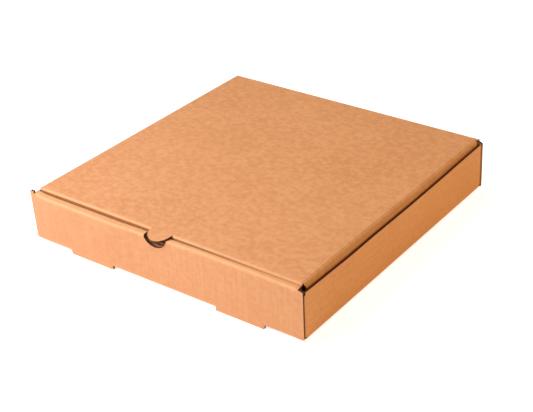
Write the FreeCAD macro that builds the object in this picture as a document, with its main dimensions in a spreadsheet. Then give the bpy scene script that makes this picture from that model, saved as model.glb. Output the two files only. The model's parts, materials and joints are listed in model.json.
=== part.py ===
import FreeCAD, Part
import Sketcher
import os
import re

# A pizza box of kraft corrugated board, die cut and folded from one sheet, shown shut.
# Millimetres, +Z up, the front towards -Y. The origin is under the middle of the box.

DOC = FreeCAD.newDocument("pizza_box")

# Driving dimensions. Heights are from the underside of the base panel.
SIZES = {
    "board": 2.5,             # thickness of the corrugated board
    "fold_radius": 2,         # outside radius of a folded crease
    "layer_gap": 0.2,         # air between two layers that lie together
    "tray_width": 336,        # outside, left to right
    "tray_depth": 348,        # outside, front to back, along the base
    "roll_height": 55.5,      # top of the rolled front wall
    "wall_drop": 4,           # raw top edge of the side walls, below the top of the roll
    "front_lean": 2,          # how far the front wall leans out at its top
    "back_lean": 3,           # how far the back wall leans in at its top
    "foot_drop": 3.5,         # how far the feet stand below the base panel
    "foot_start": 46,         # from the side of the tray to the foot
    "foot_length": 57,
    "foot_offset": 2,         # both feet sit a little to the right of even
    "foot_slant": 1.5,        # the outer end of each foot runs up at a slant
    "tab_side_gap": 1,        # a lock tab is this much narrower than its slot, each side
    "slot_gap": 0.3,          # behind the lock tab, in its slot
    "strip_inset": 5.5,       # the roll's ends, in from the sides of the tray
    "corner_drop": 2.2,       # the slanted top corners of the front and back walls
    "front_ear_length": 70,
    "rear_ear_length": 60,
    "ear_drop": 3,            # top of the ears below the top of the side walls
    "notch_radius": 15.4,     # thumb notch in the roll
    "notch_depth": 13.4,
    "thumb_radius": 14,       # thumb tab on the lid
    "hinge_gap": 0.3,         # between the back wall's top and the lid's rounded end
    "lid_front_gap": 0.3,     # between the roll and the lid's front flap
    "lid_side_gap": 1.4,      # between a side wall and the lid's side flap
    "flap_height": 38,        # lid's flaps, below the hinge line
    "flap_lean": 3,           # the front flap leans in, so that it swings clear
    "flap_taper": 16,         # how far the lid's flaps narrow towards their free edges
    "flap_ear_gap": 0.6,      # between a side flap and the tray's rear ear
    "flap_corner_gap": 1.5,   # between the front flap's end and the side flap
}

SHEET = DOC.addObject("Spreadsheet::Sheet", "Sizes")
for row, (alias, value) in enumerate(SIZES.items(), start=1):
    SHEET.set(f"A{row}", alias)
    SHEET.set(f"B{row}", str(value))
    SHEET.setAlias(f"B{row}", alias)
DOC.recompute()

# Places that follow from the sizes, as expressions on the sheet's aliases.
HALF = "tray_width / 2"
UNDER = "foot_drop"
FLOOR = "(foot_drop + board)"
ROLL_TOP = "(foot_drop + roll_height)"
WALL_TOP = "(foot_drop + roll_height - wall_drop)"
EAR_TOP = "(foot_drop + roll_height - wall_drop - ear_drop)"
EAR_BOTTOM = "(foot_drop + board + layer_gap)"
FRONT_FACE = "(board + layer_gap)"
REAR_FACE = "(tray_depth - board - layer_gap)"
ROLL = "(3 * board + 2 * layer_gap)"
RIGHT_FOOT = ("(tray_width / 2 - foot_start - foot_length + foot_offset)",
              "(tray_width / 2 - foot_start + foot_offset)")
LEFT_FOOT = ("(foot_start - tray_width / 2 + foot_offset)",
             "(foot_start + foot_length - tray_width / 2 + foot_offset)")
AXIS_Y = "(tray_depth - back_lean - board / 2)"
AXIS_Z = "(foot_drop + roll_height + hinge_gap + board / 2)"
LID_HALF = "(tray_width / 2 - board - lid_side_gap)"
FLAP_HALF = "(tray_width / 2 - 2 * board - lid_side_gap - flap_corner_gap)"
LID_REACH = f"({AXIS_Y} + front_lean - {ROLL} - lid_front_gap)"
THUMB_REACH = f"({LID_REACH} + thumb_radius - {AXIS_Y})"
SIDE_FLAP_REAR = "(-1 * (3 * board / 2 + layer_gap + flap_ear_gap - board / 2))"


def bound(text):
    """Puts the sheet's name before each alias of an expression."""
    return re.sub(r"[a-z_]+", lambda word: "Sizes." + word.group(0), text)


def number(text):
    """What an expression on the sheet comes to, in millimetres."""
    value = SHEET.evalExpression(bound(text))
    return float(getattr(value, "Value", value))


def front_shift(height):
    """How far the front wall has leaned out at a height above the floor of the tray."""
    return f"(-1 * front_lean * ({height} - {FLOOR}) / ({ROLL_TOP} - {FLOOR}))"


def back_shift(height):
    """How far the back wall has leaned in at a height above the floor of the tray."""
    return f"(-1 * back_lean * ({height} - {FLOOR}) / ({ROLL_TOP} - {FLOOR}))"


def plane_of(body, role):
    return [plane for plane in body.Origin.OriginFeatures if plane.Role == role][0]


def blank_sketch(body, name, role, start):
    """An empty sketch on one of the body's own planes, moved along its normal."""
    sketch = body.newObject("Sketcher::SketchObject", name)
    sketch.AttachmentSupport = (plane_of(body, role), [""])
    sketch.MapMode = "FlatFace"
    sketch.setExpression(".AttachmentOffset.Base.z", bound(start))
    return sketch


def place_point(sketch, geometry, point, corner):
    """Fixes a sketch point with two distances bound to the sheet."""
    for kind, text in zip(("DistanceX", "DistanceY"), corner):
        index = sketch.addConstraint(Sketcher.Constraint(kind, geometry, point, number(text)))
        sketch.setExpression(f"Constraints[{index}]", bound(text))


def add_outline(sketch, corners):
    """A closed outline of straight edges through corners given as expressions."""
    first = sketch.GeometryCount
    count = len(corners)
    points = [FreeCAD.Vector(number(across), number(up), 0) for across, up in corners]
    for index in range(count):
        sketch.addGeometry(Part.LineSegment(points[index], points[(index + 1) % count]), False)
    for index in range(count):
        following = first + (index + 1) % count
        sketch.addConstraint(Sketcher.Constraint("Coincident", first + index, 2, following, 1))
    for index, corner in enumerate(corners):
        place_point(sketch, first + index, 1, corner)


def add_circle(sketch, centre, radius):
    middle = FreeCAD.Vector(number(centre[0]), number(centre[1]), 0)
    index = sketch.addGeometry(Part.Circle(middle, FreeCAD.Vector(0, 0, 1), number(radius)), False)
    place_point(sketch, index, 3, centre)
    size = sketch.addConstraint(Sketcher.Constraint("Radius", index, number(radius)))
    sketch.setExpression(f"Constraints[{size}]", bound(radius))


# A piece is drawn across one axis and runs along it from start, for a length. The plane
# XZ looks the other way, so what is drawn on it runs against its normal.
PLANES = {"x": ("YZ_Plane", 1), "y": ("XZ_Plane", -1), "z": ("XY_Plane", 1)}


def shape_along(body, kind, name, axis, start, length, outlines=(), circles=()):
    """Pads or pockets outlines and circles along an axis of the body."""
    role, sense = PLANES[axis]
    offset = start if sense > 0 else f"-1 * ({start})"
    sketch = blank_sketch(body, name + "_sketch", role, offset)
    for corners in outlines:
        add_outline(sketch, corners)
    for centre, radius in circles:
        add_circle(sketch, centre, radius)
    feature = body.newObject("PartDesign::" + kind, name)
    feature.Profile = sketch
    feature.setExpression("Length", bound(length))
    feature.Reversed = (sense < 0) == (kind == "Pad")
    sketch.Visibility = False
    DOC.recompute()
    return feature


def pad(body, name, axis, start, length, outlines=(), circles=()):
    return shape_along(body, "Pad", name, axis, start, length, outlines, circles)


def pocket(body, name, axis, start, length, outlines=(), circles=()):
    """A cut that has to take material away."""
    before = body.Shape.Volume
    feature = shape_along(body, "Pocket", name, axis, start, length, outlines, circles)
    if not body.Shape.Volume < before:
        raise ValueError(name + " cuts nothing")
    return feature


def mirror(body, name, features):
    """The same features again on the other side of the box's middle plane."""
    feature = body.newObject("PartDesign::Mirrored", name)
    feature.Originals = features
    feature.MirrorPlane = (plane_of(body, "YZ_Plane"), [""])
    body.Tip = feature
    DOC.recompute()
    return feature


def mirrored_outline(corners):
    """The outline and its twin at the other side."""
    twin = [(f"-1 * ({across})", up) for across, up in corners]
    return [corners, twin]


def round_creases(body, name, radius, on_crease):
    """Rounds the outside edges whose two ends lie on a crease."""
    base = body.Tip
    names = []
    for index, edge in enumerate(base.Shape.Edges, start=1):
        ends = [vertex.Point for vertex in edge.Vertexes]
        if len(ends) == 2 and edge.Length > 2 * number(radius) and on_crease(*ends):
            names.append(f"Edge{index}")
    feature = body.newObject("PartDesign::Fillet", name)
    feature.Base = (base, names)
    feature.setExpression("Radius", bound(radius))
    DOC.recompute()
    return feature


def near(value, text):
    return abs(value - number(text)) < 0.01


# The tray: base, rolled front wall, side walls with their ears, and back wall.
def make_tray():
    body = DOC.addObject("PartDesign::Body", "tray")
    body.Label = "tray"
    pad(body, "base_panel", "z", UNDER, "board", [
        [(f"-{HALF}", FRONT_FACE), (HALF, FRONT_FACE), (HALF, REAR_FACE), (f"-{HALF}", REAR_FACE)],
    ])
    pad(body, "front_panel", "x", f"-{HALF}", "tray_width", [[
        ("0", UNDER), (FRONT_FACE, UNDER), (FRONT_FACE, FLOOR), ("board", FLOOR),
        ("board - front_lean", ROLL_TOP), ("-front_lean", ROLL_TOP), ("0", FLOOR),
    ]])
    pad(body, "back_wall", "x", f"-{HALF}", "tray_width", [[
        (REAR_FACE, UNDER), ("tray_depth", UNDER), ("tray_depth", FLOOR),
        ("tray_depth - back_lean", ROLL_TOP), ("tray_depth - back_lean - board", ROLL_TOP),
        ("tray_depth - board", FLOOR), (REAR_FACE, FLOOR),
    ]])
    pad(body, "top_strip_and_inner_panel", "x", f"-({HALF} - strip_inset)",
        "tray_width - 2 * strip_inset", [[
            ("board / 2 - front_lean", f"{ROLL_TOP} - board"),
            ("board / 2 - front_lean", ROLL_TOP), (f"{ROLL} - front_lean", ROLL_TOP),
            (f"{ROLL} + {front_shift(EAR_BOTTOM)}", EAR_BOTTOM),
            (f"{ROLL} - board + {front_shift(EAR_BOTTOM)}", EAR_BOTTOM),
            (f"{ROLL} - board + {front_shift(f'({ROLL_TOP} - board)')}", f"{ROLL_TOP} - board"),
        ]])
    sides = [
        pad(body, "side_wall", "x", f"{HALF} - board", "board", [[
            (FRONT_FACE, UNDER), (REAR_FACE, UNDER), (REAR_FACE, FLOOR),
            (f"{REAR_FACE} + {back_shift(WALL_TOP)}", WALL_TOP),
            (f"{FRONT_FACE} + {front_shift(WALL_TOP)}", WALL_TOP), (FRONT_FACE, FLOOR),
        ]]),
        pad(body, "front_ear", "x", f"{HALF} - front_ear_length", "front_ear_length", [[
            (f"{FRONT_FACE} + {front_shift(EAR_BOTTOM)}", EAR_BOTTOM),
            (f"{FRONT_FACE} + board + {front_shift(EAR_BOTTOM)}", EAR_BOTTOM),
            (f"{FRONT_FACE} + board + {front_shift(EAR_TOP)}", EAR_TOP),
            (f"{FRONT_FACE} + {front_shift(EAR_TOP)}", EAR_TOP),
        ]]),
        pad(body, "rear_ear", "x", f"{HALF} - rear_ear_length", "rear_ear_length", [[
            (f"{REAR_FACE} - board + {back_shift(EAR_BOTTOM)}", EAR_BOTTOM),
            (f"{REAR_FACE} + {back_shift(EAR_BOTTOM)}", EAR_BOTTOM),
            (f"{REAR_FACE} + {back_shift(EAR_TOP)}", EAR_TOP),
            (f"{REAR_FACE} - board + {back_shift(EAR_TOP)}", EAR_TOP),
        ]]),
    ]
    mirror(body, "other_side", sides)
    round_creases(body, "base_creases", "fold_radius", lambda one, two: all(
        near(end.z, UNDER) and (near(end.y, "0") or near(end.y, "tray_depth"))
        or near(end.z, UNDER) and near(abs(end.x), HALF) and near(one.x, f"{two.x}")
        for end in (one, two)))
    round_creases(body, "roll_creases", "fold_radius", lambda one, two: all(
        near(end.z, ROLL_TOP) and (near(end.y, "-front_lean") or near(end.y, f"{ROLL} - front_lean"))
        for end in (one, two)) and abs(one.y - two.y) < 0.01)
    round_creases(body, "ear_creases", "fold_radius", is_ear_crease)
    pocket(body, "slanted_front_corners", "y", "-2 * front_lean", f"2 * front_lean + 2 * {ROLL}",
           mirrored_outline(corner_cut(f"({HALF} - strip_inset)")))
    pocket(body, "slanted_back_corners", "y", f"{REAR_FACE} - 2 * back_lean", "3 * back_lean + 2 * board",
           mirrored_outline(corner_cut(LID_HALF)))
    slot_back = f"{ROLL} + slot_gap"
    pocket(body, "lock_slots", "z", "0", FLOOR, [
        [(left, "board"), (right, "board"), (right, slot_back), (left, slot_back)]
        for left, right in (LEFT_FOOT, RIGHT_FOOT)])
    pad(body, "feet", "y", "0", "board", [
        [(LEFT_FOOT[0], FLOOR), (LEFT_FOOT[0], UNDER), (f"{LEFT_FOOT[0]} + foot_slant", "0"),
         (LEFT_FOOT[1], "0"), (LEFT_FOOT[1], FLOOR)],
        [(RIGHT_FOOT[0], FLOOR), (RIGHT_FOOT[0], "0"), (f"{RIGHT_FOOT[1]} - foot_slant", "0"),
         (RIGHT_FOOT[1], UNDER), (RIGHT_FOOT[1], FLOOR)]])
    pad(body, "lock_tabs", "y", f"{ROLL} - board", "board", [
        [(f"{left} + tab_side_gap", UNDER), (f"{right} - tab_side_gap", UNDER),
         (f"{right} - tab_side_gap", f"{EAR_BOTTOM} + board"),
         (f"{left} + tab_side_gap", f"{EAR_BOTTOM} + board")]
        for left, right in (LEFT_FOOT, RIGHT_FOOT)])
    pocket(body, "thumb_notch", "y", "-2 * front_lean - board", f"2 * front_lean + 2 * {ROLL}",
           circles=[(("0", f"{ROLL_TOP} - notch_depth + notch_radius"), "notch_radius")])
    body.setExpression(".Placement.Base.y", bound(f"({THUMB_REACH} - tray_depth) / 2"))
    return body


def corner_cut(inner):
    """What the slant takes off a wall's top corner, from an inner end at the top to the side."""
    return [
        (inner, f"{ROLL_TOP}"), (f"{HALF} + board", f"{ROLL_TOP}"),
        (f"{HALF} + board", f"{ROLL_TOP} - corner_drop"), (HALF, f"{ROLL_TOP} - corner_drop"),
    ]


def is_ear_crease(one, two):
    """The upright outside corners where a side wall folds into its ears."""
    upright = abs(one.z - two.z) > number("roll_height") / 2
    outer = near(abs(one.x), HALF) and near(abs(two.x), HALF)
    middle = (one.y + two.y) / 2
    front = abs(middle - number(FRONT_FACE)) < number("front_lean + board / 2")
    rear = abs(middle - number(REAR_FACE)) < number("back_lean + board / 2")
    full = max(one.z, two.z) < number(WALL_TOP) + 0.01
    return upright and outer and full and (front or rear)


# The lid, drawn about its hinge line: panel, two side flaps, front flap and thumb tab.
def make_lid():
    body = DOC.addObject("PartDesign::Body", "lid")
    body.Label = "lid"
    crease = f"-1 * {LID_REACH}"
    pad(body, "front_flap", "x", f"-1 * {FLAP_HALF}", f"2 * {FLAP_HALF}", [[
        (crease, "board / 2"), (f"{crease} + board", "board / 2"),
        (f"{crease} + board + flap_lean", "-flap_height"), (f"{crease} + flap_lean", "-flap_height"),
    ]])
    pocket(body, "half_moon", "y", f"{crease} - board", "flap_lean + 3 * board",
           circles=[(("0", "board / 2"), "thumb_radius")])
    pocket(body, "front_flap_taper", "y", f"{crease} - board", "flap_lean + 3 * board",
           mirrored_outline([
               (FLAP_HALF, "-board"), (f"{FLAP_HALF} + board", "-board"),
               (f"{FLAP_HALF} + board", "-flap_height - board"),
               (f"{FLAP_HALF} - flap_taper", "-flap_height - board"),
           ]))
    pad(body, "top_panel", "z", "-board / 2", "board", [[
        (f"-1 * {LID_HALF}", crease), (LID_HALF, crease), (LID_HALF, "0"),
        (f"-1 * {LID_HALF}", "0"),
    ]])
    side_flap = pad(body, "side_flap", "x", f"{LID_HALF} - board", "board", [[
        (crease, "board / 2"), (SIDE_FLAP_REAR, "board / 2"), (SIDE_FLAP_REAR, "-board"),
        (f"{SIDE_FLAP_REAR} - flap_taper", "-flap_height"),
        (f"{crease} + flap_lean + flap_taper", "-flap_height"),
    ]])
    mirror(body, "other_flap", [side_flap])
    round_creases(body, "lid_creases", "fold_radius", lambda one, two: all(
        near(end.z, "board / 2") for end in (one, two))
        and (near(one.y, crease) and near(two.y, crease)
             or near(abs(one.x), LID_HALF) and abs(one.x - two.x) < 0.01))
    pad(body, "hinge_edge", "x", f"-1 * ({LID_HALF} - fold_radius)",
        f"2 * ({LID_HALF} - fold_radius)", circles=[(("0", "0"), "board / 2")])
    pad(body, "thumb_tab", "z", "-board / 2", "board",
        circles=[(("0", crease), "thumb_radius")])
    body.setExpression(".Placement.Base.y", bound(f"{AXIS_Y} + ({THUMB_REACH} - tray_depth) / 2"))
    body.setExpression(".Placement.Base.z", bound(AXIS_Z))
    return body


def check_document():
    """Stops the script where an object has failed."""
    for item in DOC.Objects:
        if "Invalid" in item.State or "Error" in item.State:
            raise ValueError(f"{item.Name} failed: {item.State}")


def main():
    os.makedirs("parts", exist_ok=True)
    bodies = [make_tray(), make_lid()]
    DOC.recompute()
    check_document()
    for body in bodies:
        shape = body.Shape
        if shape.isNull() or not shape.isValid() or len(shape.Solids) != 1:
            raise ValueError(body.Label + " isn't one sound solid")
    for body in bodies:
        box = body.Shape.BoundBox
        body.Shape.exportStep(f"parts/{body.Label}.step")
        print(body.Label, round(body.Shape.Volume), "mm3", [round(value, 2) for value in (
            box.XMin, box.XMax, box.YMin, box.YMax, box.ZMin, box.ZMax)])
    centre = f"({THUMB_REACH} - tray_depth) / 2"
    print("hinge", number(f"{AXIS_Y} + {centre}"), number(AXIS_Z))
    print("front face", number(centre))


main()
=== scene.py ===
# %% [markdown]
# A shut pizza box, folded from kraft corrugated board. The real box is a single die-cut blank:
# a base with walls that fold up, a front wall that rolls over and locks into slots, and a lid
# on a crease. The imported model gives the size, the two bodies and the hinge. This lesson makes
# the board itself: two paper liners with a fluted sheet between them, soft creases, a front
# that has bellied out with use, and paper with fibres and faint ribs.

import json
import math

import bmesh
import bpy
from mathutils import Matrix, Vector


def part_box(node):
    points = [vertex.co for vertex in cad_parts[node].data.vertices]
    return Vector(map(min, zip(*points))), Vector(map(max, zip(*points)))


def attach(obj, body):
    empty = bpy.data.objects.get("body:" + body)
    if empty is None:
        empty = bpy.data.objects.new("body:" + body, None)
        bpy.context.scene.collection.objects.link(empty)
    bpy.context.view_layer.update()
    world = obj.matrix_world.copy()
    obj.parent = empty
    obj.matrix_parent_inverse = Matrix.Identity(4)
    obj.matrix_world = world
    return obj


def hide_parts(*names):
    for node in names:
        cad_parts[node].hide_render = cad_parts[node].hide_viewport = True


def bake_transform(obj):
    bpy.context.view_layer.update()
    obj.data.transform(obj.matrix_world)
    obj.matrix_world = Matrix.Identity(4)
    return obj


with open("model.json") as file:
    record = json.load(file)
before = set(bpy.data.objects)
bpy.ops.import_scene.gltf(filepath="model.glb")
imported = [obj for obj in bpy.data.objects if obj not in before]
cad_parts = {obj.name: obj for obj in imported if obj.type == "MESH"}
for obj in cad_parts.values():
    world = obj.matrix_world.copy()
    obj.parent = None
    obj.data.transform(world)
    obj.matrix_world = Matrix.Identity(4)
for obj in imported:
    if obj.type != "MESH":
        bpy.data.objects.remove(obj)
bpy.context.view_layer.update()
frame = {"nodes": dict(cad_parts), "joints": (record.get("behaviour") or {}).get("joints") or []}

# %% [markdown]
# The camera comes first, so that every look at the work is the same look. Its place and turn
# were found by fitting the box's corners to where the photograph shows them. A long lens from
# over a metre away keeps the box's edges nearly parallel, as a product photograph does.

# %% The camera
CAMERA_PLACE = (0.6685, -0.8928, 0.6479)
CAMERA_AZIMUTH = 36.71
CAMERA_ELEVATION = 29.98
CAMERA_ROLL = -1.99
LENS_MM = 81.1
SENSOR_MM = 36
FRAME_SHIFT = (0.0018, 0.0105)


def make_camera():
    data = bpy.data.cameras.new("product_camera")
    data.lens = LENS_MM
    data.sensor_width = SENSOR_MM
    data.shift_x, data.shift_y = FRAME_SHIFT
    camera = bpy.data.objects.new("product_camera", data)
    bpy.context.collection.objects.link(camera)
    turn = Matrix.Rotation(math.radians(CAMERA_AZIMUTH), 4, "Z")
    tip = Matrix.Rotation(math.radians(90 - CAMERA_ELEVATION), 4, "X")
    roll = Matrix.Rotation(math.radians(CAMERA_ROLL), 4, "Z")
    camera.matrix_world = Matrix.Translation(CAMERA_PLACE) @ turn @ tip @ roll
    bpy.context.scene.camera = camera
    return camera


print("camera stands at", make_camera().location)

# %% [markdown]
# Sizes are in millimetres. x runs to the right, z up, and y is counted back from the foot of
# the front wall, because that is how a box maker reads a blank. `at` turns such a place into
# the frame's metres. What the frame can tell, such as the width, the roll's height and the
# hinge, is read from it.

# %% Sizes of the board and the box
MM = 0.001
BOARD = 2.5
MID = BOARD / 2
LINER = 0.32
BEND = 0.9
CRUSH = 0.15
OUT = MID + BEND

tray_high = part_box("tray")[1]
lid_low, lid_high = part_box("lid")
hinge = Vector(frame["joints"][0]["pos_m"])

HALF = tray_high.x / MM
DEPTH = 348
FRONT = tray_high.y / MM - DEPTH
UNDER = 3.5
FLOOR = UNDER + BOARD
ROLL_TOP = tray_high.z / MM
ROLL = 7.9
SIDE_TOP = ROLL_TOP - 4
EAR_TOP = SIDE_TOP - 3
EAR_BOTTOM = FLOOR + 0.2
FRONT_LEAN = 2
BACK_LEAN = 3
SLOT_BACK = ROLL + 0.3
FEET = ((-120, -63), (67, 124))
FOOT_SLANT = 1.5
TAB_GAP = 1
STRIP_END = HALF - 5.5
FRONT_EAR = 70
REAR_EAR = 60
CORNER_DROP = 2.2
NOTCH_RADIUS = 13.6
NOTCH_CENTRE = ROLL_TOP + 2.3

HINGE_Y = hinge.y / MM - FRONT
HINGE_Z = hinge.z / MM
LID_HALF = lid_high.x / MM
LID_FRONT = 6.2
SHOULDER = 2.0
SIDE_OUT = MID + SHOULDER
FLAP_HALF = LID_HALF - 4
FLAP_BOTTOM = lid_low.z / MM
FLAP_LEAN = 3
FLAP_TAPER = 16
THUMB_RADIUS = 13.2
CREASE_ARM = 4.5


def at(x, y, z):
    return Vector((x, y + FRONT, z)) * MM


print("front wall's foot at", round(FRONT, 2), "hinge at", round(HINGE_Y, 2), round(HINGE_Z, 2))

# %% [markdown]
# The tools of the bench. A panel starts as a plane. Its faces or edges are picked by
# where they lie, and then Blender's own operators do the work: bisect scores a line, spin
# bends the sheet around a crease, and extrude draws the next panel out of it. Spin is the
# right tool for a fold, because a crease in board is a short arc and not a sharp corner.
# `HAIR` is how far a point may lie from its place and still count as there.

# %% Bench tools
AXES = {"x": Vector((1, 0, 0)), "y": Vector((0, 1, 0)), "z": Vector((0, 0, 1))}
FOLD_STEPS = 5
HAIR = 0.02
SEAM = 0.00001
COLUMN = 15
ROW = 24
ARC_STEPS = 14


def near(value, goal):
    return abs(value - goal) < HAIR


def place_of(point):
    return point.x / MM, point.y / MM - FRONT, point.z / MM


def new_panel(name, half_width, front, rear, height):
    """A flat panel at a height, left in edit mode."""
    bpy.ops.object.select_all(action="DESELECT")
    middle = at(0, (front + rear) / 2, height)
    bpy.ops.mesh.primitive_plane_add(size=1, location=middle)
    panel = bpy.context.object
    panel.name = name
    panel.data.name = name
    panel.scale = (2 * half_width * MM, (rear - front) * MM, 1)
    bpy.ops.object.transform_apply(location=True, rotation=False, scale=True)
    bpy.ops.object.mode_set(mode="EDIT")
    return panel


def pick(kind, inside):
    """Selects the edges or faces of the piece in hand whose corners all pass a test."""
    bpy.ops.mesh.select_mode(type=kind)
    bpy.ops.mesh.select_all(action="DESELECT")
    mesh = bmesh.from_edit_mesh(bpy.context.object.data)
    found = False
    for part in {"EDGE": mesh.edges, "FACE": mesh.faces}[kind]:
        if all(inside(*place_of(corner.co)) for corner in part.verts):
            part.select_set(True)
            found = True
    bmesh.update_edit_mesh(bpy.context.object.data)
    if not found:
        raise ValueError("nothing was picked")


def score(axis, places, inside=lambda x, y, z: True):
    """Scores the sheet across at each place along an axis."""
    for place in places:
        pick("FACE", inside)
        middle = {"x": at(place, 0, 0), "y": at(0, place, 0), "z": at(0, 0, place)}[axis]
        bpy.ops.mesh.bisect(plane_co=middle, plane_no=AXES[axis])


def fold(axis, centre, angle):
    """Bends new board out of the picked edges, round a crease."""
    bpy.ops.mesh.spin(steps=FOLD_STEPS, dupli=False, angle=math.radians(angle),
                      center=at(*centre), axis=AXES[axis])


def draw_out(axis, start, stops):
    """Draws the picked edges out along an axis, from stop to stop."""
    for stop in stops:
        step = AXES[axis] * (stop - start) * MM
        bpy.ops.mesh.extrude_region_move(TRANSFORM_OT_translate={"value": step})
        start = stop


def cut_away(inside):
    pick("FACE", inside)
    bpy.ops.mesh.delete(type="FACE")


def reshape(inside, new_place):
    """Moves the points that pass a test to where a function puts them."""
    mesh = bmesh.from_edit_mesh(bpy.context.object.data)
    for point in mesh.verts:
        place = place_of(point.co)
        if inside(*place):
            point.co = at(*new_place(*place))
    bmesh.update_edit_mesh(bpy.context.object.data)


def arc_places(radius, depth, count):
    """Where the points of an arc lie across the box, between the two places where it meets
    a line at a depth from its centre."""
    reach = math.acos(depth / radius)
    return [radius * math.sin(reach * (2 * step / count - 1)) for step in range(count + 1)]


def spread(needed, start, stop, pitch):
    """The needed places, filled up with others about a pitch apart."""
    places = sorted(needed)
    for step in range(1, int((stop - start) / pitch)):
        place = start + step * pitch
        if min(abs(place - other) for other in places) > pitch / 3:
            places.append(place)
    return sorted(place for place in places if start < place < stop)


# %% [markdown]
# The tray's base. It is scored where the feet, the lock slots, the thumb notch and the crease
# to the lid will need an edge of their own, and about every 15 mm across and 24 mm along,
# because a sheet can only belly or sag where it has points to move.

# %% The tray's base
ROLL_FOLD = ROLL_TOP - OUT
FLOOR_FOLD = UNDER + OUT
WALL_FOLD = HALF - OUT
EAR_FOLD = BOARD + 0.2 + OUT
CREASE_HALF = LID_HALF - SIDE_OUT
CREASE_FOOT = HINGE_Z - CREASE_ARM
notch_places = arc_places(NOTCH_RADIUS, NOTCH_CENTRE - ROLL_FOLD, ARC_STEPS)
NOTCH_HALF = notch_places[-1]

needed = list(notch_places)
for left, right in FEET:
    needed += [left, left + TAB_GAP, right - TAB_GAP, right]
for side in (-1, 1):
    needed += [side * STRIP_END, side * CREASE_HALF, side * (WALL_FOLD - 2)]

tray = new_panel("tray_board", WALL_FOLD, OUT, DEPTH - OUT, UNDER + MID)
score("x", spread(needed, -WALL_FOLD, WALL_FOLD, COLUMN))
score("y", spread([EAR_FOLD, SLOT_BACK, DEPTH - EAR_FOLD], OUT, DEPTH - OUT, ROW))
print("base faces:", len(bmesh.from_edit_mesh(tray.data).faces))

# %% [markdown]
# The side walls fold up from the base and carry ears that fold in behind the front and back
# walls. The ears are a little lower than the wall, as the knife leaves them. The wall is
# drawn up in several stops, so that its top edge can dip later.

# %% The side walls and their ears
SIDE_STOPS = [EAR_BOTTOM, FLOOR_FOLD + 2, 17, 28, 40, EAR_TOP, SIDE_TOP]
EAR_STOPS = (15, 35)
EAR_REACH = 0.1

for side in (-1, 1):
    pick("EDGE", lambda x, y, z: near(x, side * WALL_FOLD)
         and EAR_FOLD - EAR_REACH < y < DEPTH - EAR_FOLD + EAR_REACH)
    fold("y", (side * WALL_FOLD, 0, FLOOR_FOLD), side * 90)
    draw_out("z", FLOOR_FOLD, SIDE_STOPS)
    for ear_fold, turn, length in ((EAR_FOLD, 1, FRONT_EAR), (DEPTH - EAR_FOLD, -1, REAR_EAR)):
        pick("EDGE", lambda x, y, z: near(x, side * (HALF - MID)) and near(y, ear_fold)
             and EAR_BOTTOM - EAR_REACH < z < EAR_TOP + EAR_REACH)
        fold("z", (side * WALL_FOLD, ear_fold, 0), side * turn * 90)
        stops = [WALL_FOLD - stop for stop in EAR_STOPS] + [HALF - length]
        draw_out("x", side * WALL_FOLD, [side * stop for stop in stops])
print("with the sides:", len(bmesh.from_edit_mesh(tray.data).faces))

# %% [markdown]
# The front wall goes up, over a flat top strip and down again inside, so that the ears are
# caught between two layers. Its lock tabs pass through slots in the base. It is one long run
# of folds and panels, so it is made in the order in which a hand would roll it.

# %% The rolled front wall
FRONT_STOPS = [FLOOR_FOLD + 2, 15, 24, 34, 44.5]

pick("EDGE", lambda x, y, z: near(y, OUT) and near(z, UNDER + MID))
fold("x", (0, OUT, FLOOR_FOLD), 90)
draw_out("z", FLOOR_FOLD, FRONT_STOPS + [ROLL_FOLD])
fold("x", (0, OUT, ROLL_FOLD), 90)
draw_out("y", OUT, [ROLL - OUT])
fold("x", (0, ROLL - OUT, ROLL_FOLD), 90)
draw_out("z", ROLL_FOLD, FRONT_STOPS[::-1] + [EAR_BOTTOM])
for side in (-1, 1):
    pick("EDGE", lambda x, y, z: near(x, side * WALL_FOLD) and y < OUT + HAIR
         and z < ROLL_FOLD + HAIR)
    draw_out("x", side * WALL_FOLD, [side * HALF])
print("with the front:", len(bmesh.from_edit_mesh(tray.data).faces))

# %% [markdown]
# Now the knife work on the front: the strip and the inner panel stop short of the corners,
# the bare top corners of the front wall stand up beside them, the feet are cut from the base
# and stay in the plane of the front wall, and a round notch goes through all the layers. The
# ridge is scored twice more, so that it can belly.

# %% Knife work on the front
CORNER_TOPS = {-1: (ROLL_TOP + 1.7, ROLL_TOP + 1.4), 1: (ROLL_TOP - 0.4, ROLL_TOP - 1.7)}
INNER = ROLL - MID
RIDGE_SCORES = [50.5, ROLL_FOLD - 2]

cut_away(lambda x, y, z: abs(x) > STRIP_END - HAIR
         and (z > ROLL_FOLD - HAIR and y < ROLL or near(y, INNER) and z > EAR_BOTTOM - HAIR))
for side, (inner_top, outer_top) in CORNER_TOPS.items():
    pick("EDGE", lambda x, y, z: side * x > STRIP_END - HAIR and near(y, MID)
         and near(z, ROLL_FOLD))
    draw_out("z", ROLL_FOLD, [inner_top])
    reshape(lambda x, y, z: side * x > STRIP_END - HAIR and near(y, MID) and near(z, inner_top),
            lambda x, y, z: (x, y, inner_top + (outer_top - inner_top)
                             * (abs(x) - STRIP_END) / (HALF - STRIP_END)))

for left, right in FEET:
    cut_away(lambda x, y, z: left - HAIR < x < right + HAIR and y < SLOT_BACK + HAIR
             and z < FLOOR_FOLD + HAIR)
    pick("EDGE", lambda x, y, z: left - HAIR < x < right + HAIR and near(y, MID)
         and near(z, FLOOR_FOLD))
    draw_out("z", FLOOR_FOLD, [UNDER, 0])
    outer, sense = (left, 1) if left < 0 else (right, -1)
    reshape(lambda x, y, z: near(x, outer) and near(z, 0),
            lambda x, y, z: (x + sense * FOOT_SLANT, y, z))
    pick("EDGE", lambda x, y, z: left + TAB_GAP - HAIR < x < right - TAB_GAP + HAIR
         and near(y, INNER) and near(z, EAR_BOTTOM))
    draw_out("z", EAR_BOTTOM, [UNDER])


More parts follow.
